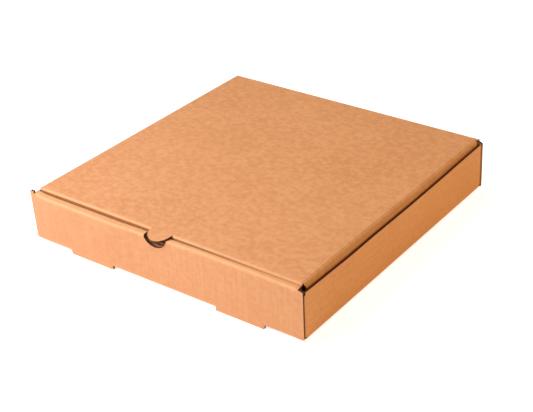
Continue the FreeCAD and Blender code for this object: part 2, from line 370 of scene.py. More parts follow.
def notch_edge(x):
    """Height of the notch's edge."""
    return NOTCH_CENTRE - math.sqrt(NOTCH_RADIUS ** 2 - x ** 2)


def notch_side(x, y, z):
    """The place on the notch's edge at the same height."""
    reach = math.sqrt(NOTCH_RADIUS ** 2 - (NOTCH_CENTRE - z) ** 2)
    return math.copysign(reach, x), y, z


cut_away(lambda x, y, z: abs(x) < NOTCH_HALF + HAIR and z > ROLL_FOLD - HAIR and y < ROLL)
reshape(lambda x, y, z: abs(x) < NOTCH_HALF - HAIR and near(z, ROLL_FOLD) and y < ROLL,
        lambda x, y, z: (x, y, notch_edge(x)))
reshape(lambda x, y, z: near(abs(x), NOTCH_HALF) and z > ROLL_FOLD + HAIR and y < ROLL, notch_side)
score("z", RIDGE_SCORES, lambda x, y, z: abs(x) > NOTCH_HALF - HAIR and z > FRONT_STOPS[-1] - 0.5
      and y < ROLL and (near(y, MID) or near(y, INNER)))
print("after the knife:", len(bmesh.from_edit_mesh(tray.data).faces))

# %% [markdown]
# The back wall folds up and carries the lid on a crease. Between the two bare corners it
# stops a few millimetres short of the hinge line, where a piece of its own takes over.

# %% The back wall
BACK_STOPS = [18, 31, 44, CREASE_FOOT]

pick("EDGE", lambda x, y, z: near(y, DEPTH - OUT) and near(z, UNDER + MID))
fold("x", (0, DEPTH - OUT, FLOOR_FOLD), -90)
draw_out("z", FLOOR_FOLD, BACK_STOPS)
for side in (-1, 1):
    pick("EDGE", lambda x, y, z: near(x, side * WALL_FOLD) and y > DEPTH - OUT - HAIR
         and z < CREASE_FOOT + HAIR)
    draw_out("x", side * WALL_FOLD, [side * HALF])
    pick("EDGE", lambda x, y, z: side * x > CREASE_HALF - HAIR and y > DEPTH - OUT
         and near(z, CREASE_FOOT))
    draw_out("z", CREASE_FOOT, [ROLL_TOP])
reshape(lambda x, y, z: near(z, ROLL_TOP) and y > DEPTH / 2 and abs(x) > LID_HALF,
        lambda x, y, z: (x, y, z - CORNER_DROP * (abs(x) - LID_HALF) / (HALF - LID_HALF)))
print("whole tray:", len(bmesh.from_edit_mesh(tray.data).faces))

# %% [markdown]
# Board has a direction: its flutes. They run from front to back through the whole blank, so
# they stand upright in the front and back walls and lie along the side walls. A map that
# unfolds the sheet keeps that direction for the paper's ribs and fibres: the first coordinate
# counts across the flutes and the second along them.

# %% Finish the sheet and unfold its map
def finish_sheet(facing):
    """Joins the seams and turns every face of the sheet outwards. One face of the sheet
    whose outward side is known settles which way that is."""
    bpy.ops.mesh.select_mode(type="FACE")
    bpy.ops.mesh.select_all(action="SELECT")
    bpy.ops.mesh.remove_doubles(threshold=SEAM)
    bpy.ops.mesh.normals_make_consistent(inside=False)
    mesh = bmesh.from_edit_mesh(bpy.context.object.data)
    place, outward = facing
    known = min(mesh.faces, key=lambda face: (face.calc_center_median() - at(*place)).length)
    if known.normal.dot(Vector(outward)) < 0:
        bpy.ops.mesh.flip_normals()
    bpy.ops.object.mode_set(mode="OBJECT")


def unfold(piece, blank_place):
    """Writes the blank's own coordinates, in metres, as the piece's map."""
    layer = piece.data.uv_layers.get("UVMap") or piece.data.uv_layers.new(name="UVMap")
    for face in piece.data.polygons:
        middle = place_of(face.center)
        for corner in face.loop_indices:
            point = piece.data.vertices[piece.data.loops[corner].vertex_index].co
            across, along = blank_place(middle, *place_of(point))
            layer.data[corner].uv = (across * MM, along * MM)


def tray_blank(middle, x, y, z):
    side = math.copysign(1, middle[0])
    ears = (near(middle[1], EAR_FOLD - BEND) or near(middle[1], DEPTH - EAR_FOLD + BEND))
    if abs(middle[0]) > WALL_FOLD and EAR_FOLD < middle[1] < DEPTH - EAR_FOLD:
        return side * (WALL_FOLD + max(0, z - UNDER)), y
    if ears and middle[2] > FLOOR and abs(middle[0]) < WALL_FOLD + BEND:
        return side * (WALL_FOLD + max(0, z - UNDER)), y + side * (HALF - abs(x))
    if middle[1] > DEPTH - OUT:
        return x, DEPTH + z
    if middle[2] > ROLL_FOLD:
        return x, -ROLL_TOP - y
    if near(middle[1], INNER) and middle[2] > EAR_BOTTOM:
        return x, z - 2 * ROLL_TOP - ROLL
    return x, y - z


finish_sheet(((30, DEPTH / 2, UNDER), (0, 0, -1)))
unfold(tray, tray_blank)
print("tray sheet:", len(tray.data.polygons), "faces")

# %% [markdown]
# The lid is a panel with the same kind of folds: two side flaps tuck inside the tray's walls,
# a front flap tucks inside the roll, and the half-moon cut in the front flap leaves a thumb
# tab in the plane of the lid. So the tab and the half-moon share one arc, as they share one
# cut of the knife. The strip under the half-moon is drawn up in two rows, which then take the
# arc's curve, so that its sides have the same points as the flap beside it.

# %% The lid's panel, flaps and thumb tab
LID_FOLD = LID_FRONT + OUT
LID_MID = HINGE_Z
FLAP_FOLD = LID_MID - BEND
SIDE_FOLD = LID_MID - SHOULDER
CREASE_FRONT = HINGE_Y - CREASE_ARM
MOON_CENTRE = LID_MID + MID
CORNER_TONGUE = 1.3
MOON_FOOT = 46
MOON_ROWS = (50, 54)
FLAP_STOPS = [FLAP_FOLD - 2, MOON_FOOT, 38, 30, FLAP_BOTTOM]
SIDE_FLAP_STOPS = [SIDE_FOLD - 2, MOON_FOOT, 38, 30, FLAP_BOTTOM]
thumb_places = arc_places(THUMB_RADIUS, OUT, ARC_STEPS)
THUMB_HALF = thumb_places[-1]


def thumb_reach(x):
    return math.sqrt(THUMB_RADIUS ** 2 - x ** 2)


lid = new_panel("lid_board", CREASE_HALF, LID_FOLD, CREASE_FRONT, LID_MID)
needed = [*thumb_places, 2 - CREASE_HALF, CREASE_HALF - 2]
score("x", spread(needed, -CREASE_HALF, CREASE_HALF, COLUMN))
score("y", spread([LID_FOLD + 2], LID_FOLD, CREASE_FRONT, COLUMN))

pick("EDGE", lambda x, y, z: near(y, LID_FOLD))
fold("x", (0, LID_FOLD, FLAP_FOLD), -90)
draw_out("z", FLAP_FOLD, FLAP_STOPS)
cut_away(lambda x, y, z: abs(x) < THUMB_HALF + HAIR and z > FLAP_FOLD - HAIR
         and y < LID_FOLD + HAIR)
cut_away(lambda x, y, z: abs(x) < THUMB_HALF + HAIR and z > MOON_FOOT - HAIR
         and near(y, LID_FRONT + MID))
pick("EDGE", lambda x, y, z: abs(x) < THUMB_HALF + HAIR and near(z, MOON_FOOT))
draw_out("z", MOON_FOOT, MOON_ROWS)
low_share = (FLAP_STOPS[0] - MOON_FOOT) / (FLAP_FOLD - MOON_FOOT)
for row, share in zip(reversed(MOON_ROWS), (1, low_share)):
    reshape(lambda x, y, z: abs(x) < THUMB_HALF + HAIR and near(z, row) and near(y, LID_FRONT + MID),
            lambda x, y, z: (x, y, MOON_FOOT + share * (MOON_CENTRE - thumb_reach(x) - MOON_FOOT)))
for side in (-1, 1):
    pick("EDGE", lambda x, y, z: near(x, side * CREASE_HALF) and y < LID_FOLD - HAIR)
    draw_out("x", 0, [side * CORNER_TONGUE])
pick("EDGE", lambda x, y, z: abs(x) < THUMB_HALF + HAIR and near(y, LID_FOLD) and near(z, LID_MID))
draw_out("y", LID_FOLD, [LID_FRONT])
reshape(lambda x, y, z: abs(x) < THUMB_HALF + HAIR and near(y, LID_FRONT) and near(z, LID_MID),
        lambda x, y, z: (x, LID_FRONT - thumb_reach(x), z))
print("lid with its front flap:", len(bmesh.from_edit_mesh(lid.data).faces))

# %% [markdown]
# The side flaps are folded over a wider shoulder than the other creases, because in the
# photograph the lid rounds off softly along its side. Their ends are cut at a slant, so that
# they slip in past the ears.

# %% The lid's side flaps
FLAP_CORNER = 30


def flap_front(z):
    """Front end of a side flap at a height."""
    return LID_FOLD + (FLAP_LEAN + FLAP_TAPER) * (LID_MID - z) / (LID_MID - FLAP_BOTTOM)


def flap_rear(z):
    return CREASE_FRONT - FLAP_TAPER * max(0, LID_MID - BOARD - z) / (LID_MID - BOARD - FLAP_BOTTOM)


for side in (-1, 1):
    pick("EDGE", lambda x, y, z: near(x, side * CREASE_HALF) and near(z, LID_MID))
    fold("y", (side * CREASE_HALF, 0, SIDE_FOLD), -side * 90)
    draw_out("z", SIDE_FOLD, SIDE_FLAP_STOPS)
reshape(lambda x, y, z: abs(x) > CREASE_HALF + SHOULDER - HAIR and z < SIDE_FOLD + HAIR,
        lambda x, y, z: (x, flap_front(z) + (flap_rear(z) - flap_front(z))
                         * (y - LID_FOLD) / (CREASE_FRONT - LID_FOLD), z))


def front_flap_half(z):
    return FLAP_HALF - FLAP_TAPER * (LID_MID - MID - z) / (LID_MID - MID - FLAP_BOTTOM)


reshape(lambda x, y, z: y < LID_FOLD - HAIR and near(y, LID_FRONT + MID)
        and abs(x) > CREASE_HALF - FLAP_CORNER and z < FLAP_FOLD + HAIR,
        lambda x, y, z: (x * front_flap_half(z) / CREASE_HALF, y, z))


def lid_blank(middle, x, y, z):
    side = math.copysign(1, middle[0])
    if abs(middle[0]) > CREASE_HALF:
        return side * (CREASE_HALF + LID_MID - z), y
    if middle[1] < LID_FOLD and middle[2] < LID_MID - 0.1:
        return x, z - LID_MID
    return x, y


finish_sheet(((30, DEPTH / 2, LID_MID), (0, 0, 1)))
unfold(lid, lid_blank)
print("lid sheet:", len(lid.data.polygons), "faces")

# %% [markdown]
# Where paper is bent it stretches and looks paler, and the folds also get a painted highlight, so
# the folds are marked before the sheet gets its thickness. A point's mark is the angle between
# the faces that meet there. A crease is also crushed, so the same mark thins the board there, by way of a
# vertex group.

# %% Mark the creases
FULL_BEND = math.radians(15)


def mark_creases(piece):
    mesh = bmesh.new()
    mesh.from_mesh(piece.data)
    marks = []
    for point in mesh.verts:
        bends = [edge.calc_face_angle(0) for edge in point.link_edges]
        marks.append(min(1, max(bends) / FULL_BEND))
    mesh.free()
    body = piece.vertex_groups.new(name="body")
    for index, mark in enumerate(marks):
        body.add([index], 1 - CRUSH * mark, "REPLACE")
    attribute = piece.data.attributes.new("crease", "FLOAT", "POINT")
    attribute.data.foreach_set("value", marks)
    print(piece.name, "points on a crease:", sum(mark > 0.5 for mark in marks))


mark_creases(tray)
mark_creases(lid)

# %% [markdown]
# A used box isn't square. The front wall leans out and its ridge bellies out on the left, where
# the ears are, while on the right it is pressed in against the lid. The side walls' raw edges
# dip in the middle and rise to the back. Each of these is a smooth curve through a few
# stations, in millimetres, and one function moves any point of the tray, so that whatever
# lies inside the board follows the same settling. It also shifts the notch, which was cut a
# little left of the middle.

# %% How the tray has settled
RIDGE = [(-168, 0), (-146, -2.6), (-50, -2.9), (-22, -1.6), (22, 1.1), (60, 2.0), (96, 1.6),
         (140, 1.0), (168, 0.8)]
RIDGE_RISE = [(-168, 0.8), (-140, 0.2), (10, 0), (50, 0.6), (150, 0.6), (168, 0.2)]
SIDE_EDGE = [(2, 0), (4, 0.5), (46, -0.3), (77, -0.9), (130, -0.3), (188, -0.6), (224, -0.2),
             (261, 0.5), (310, 1.8), (344, 2.3), (346, 0)]
BELLY = 1.6
INNER_SHARE = 0.5
EDGE_START = 150
NOTCH_ASIDE = -1.9
NOTCH_REACH = 45
NOTCH_RISE = (40, 48)


def curve(stations, place):
    """A smooth curve through a few stations."""
    if place <= stations[0][0]:
        return stations[0][1]
    for (start, low), (stop, high) in zip(stations, stations[1:]):
        if place <= stop:
            share = (place - start) / (stop - start)
            return low + (high - low) * share * share * (3 - 2 * share)
    return stations[-1][1]


def share_of(value, start, stop):
    return min(1, max(0, (value - start) / (stop - start)))


def settle_tray(x, y, z):
    rise = max(0, (z - FLOOR) / (ROLL_TOP - FLOOR))
    lean = rise * (FRONT_LEAN + (BACK_LEAN - FRONT_LEAN) * y / DEPTH)
    belly = curve(RIDGE, x) * rise ** BELLY
    layer = share_of(y, INNER, MID)
    if belly < 0 and y < ROLL:
        layer = INNER_SHARE + (1 - INNER_SHARE) * layer
    belly *= layer
    lift = 0
    if y < ROLL:
        lift = curve(RIDGE_RISE, x) * rise ** 2
    lift += curve(SIDE_EDGE, y) * share_of(abs(x), EDGE_START, WALL_FOLD) * rise
    aside = 0
    if y < ROLL:
        aside = NOTCH_ASIDE * share_of(z, *NOTCH_RISE)
        aside *= 1 - share_of(abs(x), NOTCH_HALF, NOTCH_REACH)
    return x + aside, y - lean + belly, z + lift


def settle(piece, rule):
    for point in piece.data.vertices:
        point.co = at(*rule(*place_of(point.co)))


settle(tray, settle_tray)
print("tray settled")

# %% [markdown]
# The lid lies loose on the tray. Its front flap leans in, its thumb tab droops, and its front
# edge has sunk a little on the right, where the ridge stands higher.

# %% How the lid has settled
THUMB_DROOP = 2.8
LID_DIP = [(-160, 0), (0, 0), (60, -0.8), (160, -0.9)]
DIP_END = 90


def settle_lid(x, y, z):
    if y < LID_FOLD and z < LID_MID - 0.1:
        y += FLAP_LEAN * (LID_MID - z) / (LID_MID - FLAP_BOTTOM)
    dip = curve(LID_DIP, x) * (1 - share_of(y, LID_FOLD, DIP_END)) ** 2
    dip -= THUMB_DROOP * share_of(y, LID_FRONT, LID_FRONT - THUMB_RADIUS) ** 2
    return x, y, z + dip


settle(lid, settle_lid)
print("lid settled")

# %% [markdown]
# From the sheet to the board. Corrugated board is two paper liners with air and a fluted
# medium between them. The first Solidify sets the two faces of the board apart, and the
# second gives each its thickness of paper, inwards. The paper's cut edges and the sides
# that face the flutes get a finish of their own, by Solidify's material offsets. Bent faces
# are split into triangles first. A bent face of four corners could be split one way on the paper's
# outside and the other way on its inside, and then one side would poke through the other.
# Only the rolled front is bent so much, so only its faces above the base are split.

# %% From the sheet to two liners
SMOOTH_ANGLE = math.radians(35)
SPLIT_REACH = 2


def take_up(piece):
    bpy.ops.object.select_all(action="DESELECT")
    piece.select_set(True)
    bpy.context.view_layer.objects.active = piece


def thicken(piece, thickness, offset, rim, face_offset=0, rim_offset=0, body=""):
    solid = piece.modifiers.new("paper", "SOLIDIFY")
    solid.vertex_group = body
    solid.thickness = thickness * MM
    solid.offset = offset
    solid.use_even_offset = False
    solid.use_rim = rim
    solid.material_offset = face_offset
    solid.material_offset_rim = rim_offset
    take_up(piece)
    bpy.ops.object.modifier_apply(modifier=solid.name)


def make_board(piece):
    for slot in range(4):
        piece.data.materials.append(None)
    thicken(piece, BOARD, 0, rim=False, face_offset=1, body="body")
    thicken(piece, LINER, -1, rim=True, face_offset=2, rim_offset=2)
    bpy.ops.object.shade_smooth_by_angle(angle=SMOOTH_ANGLE)
    print(piece.name, "is board of", len(piece.data.polygons), "faces")


take_up(tray)
bpy.ops.object.mode_set(mode="EDIT")
pick("FACE", lambda x, y, z: z > FLOOR + 0.1 and y < ROLL + SPLIT_REACH)
bpy.ops.mesh.quads_convert_to_tris(quad_method="SHORTEST_DIAGONAL", ngon_method="BEAUTY")
bpy.ops.object.mode_set(mode="OBJECT")
make_board(tray)
make_board(lid)

# %% [markdown]
# The fluted medium shows wherever the knife crossed the flutes, and as a dark channel where
# it ran along them. A wavy sheet is made for each such wall: a grid whose points are placed
# by a sine across the flutes, kept a hair inside the cut edges, and thickened to paper.

# %% The fluted medium
PITCH = 6.4
MEDIUM = 0.25
FLUTE_AIR = 0.2
FLUTE_HEIGHT = MID - LINER - MEDIUM / 2 - FLUTE_AIR
STEPS_A_FLUTE = 8
FEWEST_COLUMNS = 4
EDGE_INSET = 0.35


def flute_sheet(name, start, stop, low_end, high_end, place, settled, rows=1):
    """A wavy sheet from start to stop across the flutes, between two ends along them. The
    ends are functions of the place across, and place gives a point of the box."""
    columns = max(FEWEST_COLUMNS, round(abs(stop - start) / PITCH * STEPS_A_FLUTE))
    bpy.ops.object.select_all(action="DESELECT")
    bpy.ops.mesh.primitive_grid_add(x_subdivisions=columns, y_subdivisions=rows, size=1)
    sheet = bpy.context.object
    sheet.name = name
    layer = sheet.data.uv_layers.active or sheet.data.uv_layers.new(name="UVMap")
    across_along = {}
    for point in sheet.data.vertices:
        across = start + (stop - start) * (point.co.x + 0.5)
        along = low_end(across) + (high_end(across) - low_end(across)) * (point.co.y + 0.5)
        wave = FLUTE_HEIGHT * math.sin(2 * math.pi * across / PITCH)
        across_along[point.index] = (across * MM, along * MM)
        point.co = at(*settled(*place(across, along, wave)))
    for loop in sheet.data.loops:
        layer.data[loop.index].uv = across_along[loop.vertex_index]
    thicken(sheet, MEDIUM, 0, rim=True)
    return sheet


def join_sheets(name, sheets):
    """One piece of all the wavy sheets that belong to a board."""
    bpy.ops.object.select_all(action="DESELECT")
    for sheet in sheets:
        sheet.select_set(True)
    bpy.context.view_layer.objects.active = sheets[0]
    bpy.ops.object.join()
    piece = sheets[0]
    piece.name = name
    piece.data.name = name
    bpy.ops.object.shade_smooth_by_angle(angle=SMOOTH_ANGLE)
    print(name, "has", len(piece.data.polygons), "faces")
    return piece


def level(height):
    return lambda across: height


# %% [markdown]
# The tray's flutes: upright in the front and back walls, the feet and the lock tabs, and along
# the side walls and ears. Under the notch their upper end follows the knife's arc.

# %% The tray's fluted sheets
def under_notch(across):
    if abs(across) < NOTCH_HALF:
        return notch_edge(across) - EDGE_INSET
    return ROLL_FOLD


def front_layer(across, along, wave):
    return across, MID + wave, along


def inner_layer(across, along, wave):
    return across, INNER + wave, along


def back_layer(across, along, wave):
    return across, DEPTH - MID + wave, along


NOTCH_SIDE = 4
NOTCH_FOOT = 40

front_end = HALF - EDGE_INSET
sheets = [
    flute_sheet("front", -front_end, front_end, level(FLOOR_FOLD), under_notch, front_layer,
                settle_tray, rows=5),
    flute_sheet("back", -front_end, front_end, level(FLOOR_FOLD), level(CREASE_FOOT - 1),
                back_layer, settle_tray, rows=3),
    flute_sheet("inner", -NOTCH_HALF - NOTCH_SIDE, NOTCH_HALF + NOTCH_SIDE, level(NOTCH_FOOT),
                under_notch, inner_layer, settle_tray),
]
for left, right in FEET:
    sheets.append(flute_sheet("foot", left + FOOT_SLANT, right - FOOT_SLANT, level(EDGE_INSET),
                              level(FLOOR_FOLD), front_layer, settle_tray))
    sheets.append(flute_sheet("lock", left + TAB_GAP + EDGE_INSET, right - TAB_GAP - EDGE_INSET,
                              level(UNDER + EDGE_INSET), level(EAR_BOTTOM), inner_layer,
                              settle_tray))
for side in (-1, 1):
    sheets.append(flute_sheet("corner", side * (STRIP_END + EDGE_INSET), side * front_end,
                              level(ROLL_FOLD), level(CORNER_TOPS[side][1] - EDGE_INSET),
                              front_layer, settle_tray))
    sheets.append(flute_sheet(
        "side", FLOOR_FOLD, SIDE_TOP - EDGE_INSET, level(EAR_FOLD), level(DEPTH - EAR_FOLD),
        lambda across, along, wave: (side * (HALF - MID + wave), along, across),
        settle_tray, rows=22))
    for ear_y, length in ((EAR_FOLD - BEND, FRONT_EAR), (DEPTH - EAR_FOLD + BEND, REAR_EAR)):
        sheets.append(flute_sheet(
            "ear", EAR_BOTTOM + EDGE_INSET, EAR_TOP - EDGE_INSET,
            level(HALF - length + EDGE_INSET), level(WALL_FOLD),
            lambda across, along, wave: (side * along, ear_y + wave, across),
            settle_tray, rows=4))
tray_flutes = join_sheets("tray_flutes", sheets)

# %% [markdown]
# The lid's flutes show at the thumb tab, along the half-moon, and at the free edges of the
# three flaps.

# %% The lid's fluted sheets
def flap_low_end(across):
    slant = FLAP_TAPER / (LID_MID - MID - FLAP_BOTTOM)
    return max(FLAP_BOTTOM, LID_MID - MID - (FLAP_HALF - abs(across)) / slant) + EDGE_INSET


def under_moon(across):
    if abs(across) < THUMB_HALF:
        return MOON_CENTRE - thumb_reach(across) - EDGE_INSET
    return FLAP_FOLD


THUMB_ROOT = 4

thumb_end = THUMB_HALF - EDGE_INSET
flap_end = FLAP_HALF - 1
sheets = [
    flute_sheet("thumb", -thumb_end, thumb_end,
                lambda across: LID_FRONT - thumb_reach(across) + EDGE_INSET, level(LID_FOLD + THUMB_ROOT),
                lambda across, along, wave: (across, along, LID_MID + wave), settle_lid),
    flute_sheet("front_flap", -flap_end, flap_end, flap_low_end, under_moon,
                lambda across, along, wave: (across, LID_FRONT + MID + wave, along),
                settle_lid, rows=3),
]
for side in (-1, 1):
    sheets.append(flute_sheet(
        "side_flap", FLAP_BOTTOM + EDGE_INSET, SIDE_FOLD,
        lambda across: flap_front(across) + EDGE_INSET,
        lambda across: flap_rear(across) - EDGE_INSET,
        lambda across, along, wave: (side * (LID_HALF - MID + wave), along, across),
        settle_lid, rows=12))
lid_flutes = join_sheets("lid_flutes", sheets)

# %% [markdown]
# The crease between the back wall and the lid is the same board, bent and creased soft. It
# has to bend with the lid, so it is a piece of its own: a short arm on the wall, the fold, and
# a short arm on the lid. Its ends meet the tray and the lid edge to edge. On the lid's side
# it is a little wider, and closes the lid's rear corners.

# %% The crease that is the hinge
REAR_TONGUES = {-1: 0.5, 1: 3.4}
FLAT_END = 1.5

crease = new_panel("hinge_crease", CREASE_HALF, CREASE_FRONT, HINGE_Y - BEND, LID_MID)
score("x", spread([0], -CREASE_HALF, CREASE_HALF, COLUMN))
score("y", [CREASE_FRONT + FLAT_END])
pick("EDGE", lambda x, y, z: near(y, HINGE_Y - BEND))
fold("x", (0, HINGE_Y - BEND, LID_MID - BEND), 90)
draw_out("z", LID_MID - BEND, [CREASE_FOOT + FLAT_END, CREASE_FOOT])
for side, tongue in REAR_TONGUES.items():
    reshape(lambda x, y, z: near(x, side * CREASE_HALF) and z > LID_MID - BEND - HAIR,
            lambda x, y, z: (x + side * tongue, y, z))
wall_y = settle_tray(0, DEPTH - MID, CREASE_FOOT)[1]
reshape(lambda x, y, z: z < LID_MID - BEND - HAIR,
        lambda x, y, z: (x, y + (wall_y - HINGE_Y) * (LID_MID - BEND - z)
                         / (LID_MID - BEND - CREASE_FOOT), z))
finish_sheet(((0, HINGE_Y - 3, LID_MID), (0, 0, 1)))
unfold(crease, lambda middle, x, y, z: (x, y + LID_MID - z))
mark_creases(crease)
make_board(crease)

# %% [markdown]
# Materials are written as sums. `Wire` holds one output of a node; adding or multiplying wires
# adds the Math nodes, and `node` adds any other kind. That way the recipe of a finish reads
# like a recipe.

# %% Sums on wires
class Wire:
    """One output of a node in a material."""

    def __init__(self, tree, socket=None):
        self.tree = tree
        self.socket = socket

    def node(self, kind, settings=(), inputs=(), output=0):
        made = self.tree.nodes.new(kind)
        for name, value in dict(settings).items():
            setattr(made, name, value)
        for name, value in dict(inputs).items():
            if isinstance(value, Wire):
                self.tree.links.new(value.socket, made.inputs[name])
            else:
                made.inputs[name].default_value = value
        return Wire(self.tree, made.outputs[output])

    def math(self, operation, *values):
        return self.node("ShaderNodeMath", {"operation": operation}, enumerate(values))

    def __add__(self, other):
        return self.math("ADD", self, other)

    def __sub__(self, other):
        return self.math("SUBTRACT", self, other)

    def __rsub__(self, other):
        return self.math("SUBTRACT", other, self)

    def __mul__(self, other):
        return self.math("MULTIPLY", self, other)

    __radd__ = __add__
    __rmul__ = __mul__

    def between(self, low, high):
        """0 below low, 1 above high, and smooth between."""
        return self.node("ShaderNodeMapRange", {"interpolation_type": "SMOOTHSTEP"},
                         {"Value": self, "From Min": low, "From Max": high})

    def past(self, place):
        """0 before a place and 1 beyond it. The place is where the change starts and where it
        ends, in millimetres."""
        start, stop = place
        return self.between(start * MM, stop * MM)

    def band(self, start, stop):
        """1 from one such place to another."""
        return self.past(start) * (1 - self.past(stop))

    def noise(self, scale, stretch=None, detail=2, roughness=0.5, distortion=0):
        """A noise over these coordinates, which may be stretched first."""
        place = self
        if stretch:
            place = self.node("ShaderNodeMapping", inputs={"Vector": self, "Scale": stretch})
        return self.node("ShaderNodeTexNoise", inputs={
            "Vector": place, "Scale": scale, "Detail": detail, "Roughness": roughness,
            "Distortion": distortion})


def mix_colours(share, one, two):
    """A colour between two, by a share from 0 to 1."""
    return share.node("ShaderNodeMix", {"data_type": "RGBA"},
                      {0: share, 6: one, 7: two}, output=2)


# %% [markdown]
# Kraft paper up close is long brown fibres in a paler pulp. From a step away it is cloudy on
# top, with patches about a centimetre across, and streaked along its walls, and over the flutes
# it shows faint ribs. The clouds use the object's own coordinates, so that they run on over a
# fold. The fibres, streaks and ribs use the unfolded map, because they follow the sheet. Scale
# is how often a pattern changes in a metre, and stretch makes that differ by direction.

# %% The patterns in the paper
CLOUDS = {"scale": 200, "stretch": (0.75, 1, 1), "detail": 5, "roughness": 0.6}
DRIFT = {"scale": 14}
LONG_FIBRES = {"scale": 1, "stretch": (260, 1700, 1), "detail": 4, "roughness": 0.7,
               "distortion": 0.6}
CROSS_FIBRES = {"scale": 1, "stretch": (1500, 420, 1), "detail": 3, "roughness": 0.7,
                "distortion": 0.9}
STREAKS = {"scale": 1, "stretch": (420, 22, 1), "detail": 3, "roughness": 0.6}
RIB_PATCHES = {"scale": 30, "detail": 1}
TONES = {"clouds": 2.1, "streaks": 0.65, "drift": 0.5, "ribs": 0.05, "long": 0.45, "cross": 0.3}
RELIEF = {"clouds": 0.6, "ribs": 1.4, "long": 0.5, "cross": 0.4}
BUMP = {"Strength": 0.6, "Distance": 0.00006}
WALL_CLOUDS = 0.5
RIB_RANGE = (0.35, 0.65)
STRAND_RANGE = (0.63, 0.78)
DARK_STRAND_RANGE = (0.66, 0.8)
STRAND_SHARE = 0.35
DARK_STRAND_SHARE = 0.4
ROUGHNESS = 0.72
ROUGH_CLOUDS = 0.2
ROUGH_FIBRES = 0.15
SPECULAR = 0.3

# %% [markdown]
# The paper's colour carries painted shade in the gap behind the ridge, along the lid's side
# shoulders and on a score line beside them, and the folds are paler, partly where the paper is
# stretched and partly as a painted highlight. Of the cut edges, the upright ones at the corners
# are light and the tops of the side walls get dark painted shade. The shade is painted in after
# the photograph. Each such place is a band across the box, given in millimetres.

# %% Where the paper is darker or paler
WALL_HEAD = (ROLL_TOP - 4, ROLL_TOP - 1)
RIDGE_BACK = (FRONT + 3.6, FRONT + 5.6)
FLAP_FRONT = (FRONT + 9, FRONT + 10)
GAP_HEIGHT = ((50, 54), (59.6, 60.4))
GAP_END = (162, 164)
GAP_FADE = (40, 150)
SCORE_LINE = ((160, 160.7), (161.2, 162))
SCORE_HEIGHT = (59, 60)
SHOULDER_BAND = ((161.8, 164.2), (166.5, 167))
SHOULDER_HEIGHT = (56, 58)
FOLD_END = (159, 160.5)
CORNER_EDGE = (166.8, 167.2)
CORNER_HEAD = (51, 53)
WALL_EDGE = (165, 165.4)
WALL_EDGE_HEIGHT = (51.5, 53)
GAP_FADING = 0.75
# Painted shade: how dark the gap behind the ridge and the lid's shoulders are made; its colour follows.
GAP_SHADE_SHARE = 0.6
SHOULDER_SHADE_SHARE = 0.3
# How much paler the folds are: partly stretched paper and partly a painted highlight.
STRETCH_AND_HIGHLIGHT = 0.62
PALER_AND_HIGHLIGHT = 1.25
SHADE_COLOUR = (0.27, 0.09, 0.012, 1)
UPRIGHT_EDGE = (0.5, 0.23, 0.085, 1)
# Dark painted shade on the cut tops of the side walls.
TOP_EDGE_SHADE = (0.05, 0.015, 0.006, 1)


def painted_shade_places(spot, bare):
    """How much painted shade the paper gets by place, and the two kinds of bare cut edge, of which the
    tops of the side walls get dark painted shade.
    """
    right, back, up = [spot.node("ShaderNodeSeparateXYZ", inputs={"Vector": spot}, output=axis)
                       for axis in range(3)]
    aside = right.math("ABSOLUTE", right)
    past_flap = back.past(FLAP_FRONT)
    # Painted shade in the gap behind the ridge, on the lid's side shoulders and in the score line beside
    # them.
    gap = back.past(RIDGE_BACK) * (1 - past_flap) * up.band(*GAP_HEIGHT)
    gap = gap * (1 - aside.past(GAP_END)) * (1 - right.past(GAP_FADE) * GAP_FADING)
    score_line = aside.band(*SCORE_LINE) * up.past(SCORE_HEIGHT) * past_flap
    shoulder = aside.band(*SHOULDER_BAND) * past_flap * up.past(SHOULDER_HEIGHT) + score_line
    shade_share = (gap * GAP_SHADE_SHARE).math("MAXIMUM", gap * GAP_SHADE_SHARE, shoulder * SHOULDER_SHADE_SHARE)
    upright = aside.past(CORNER_EDGE) * (1 - up.past(CORNER_HEAD)) * bare
    # Dark painted shade on the cut tops of the side walls.
    wall_top_shade = aside.past(WALL_EDGE) * up.past(WALL_EDGE_HEIGHT) * bare
    return aside, 1 - up.past(WALL_HEAD), shade_share, upright, wall_top_shade
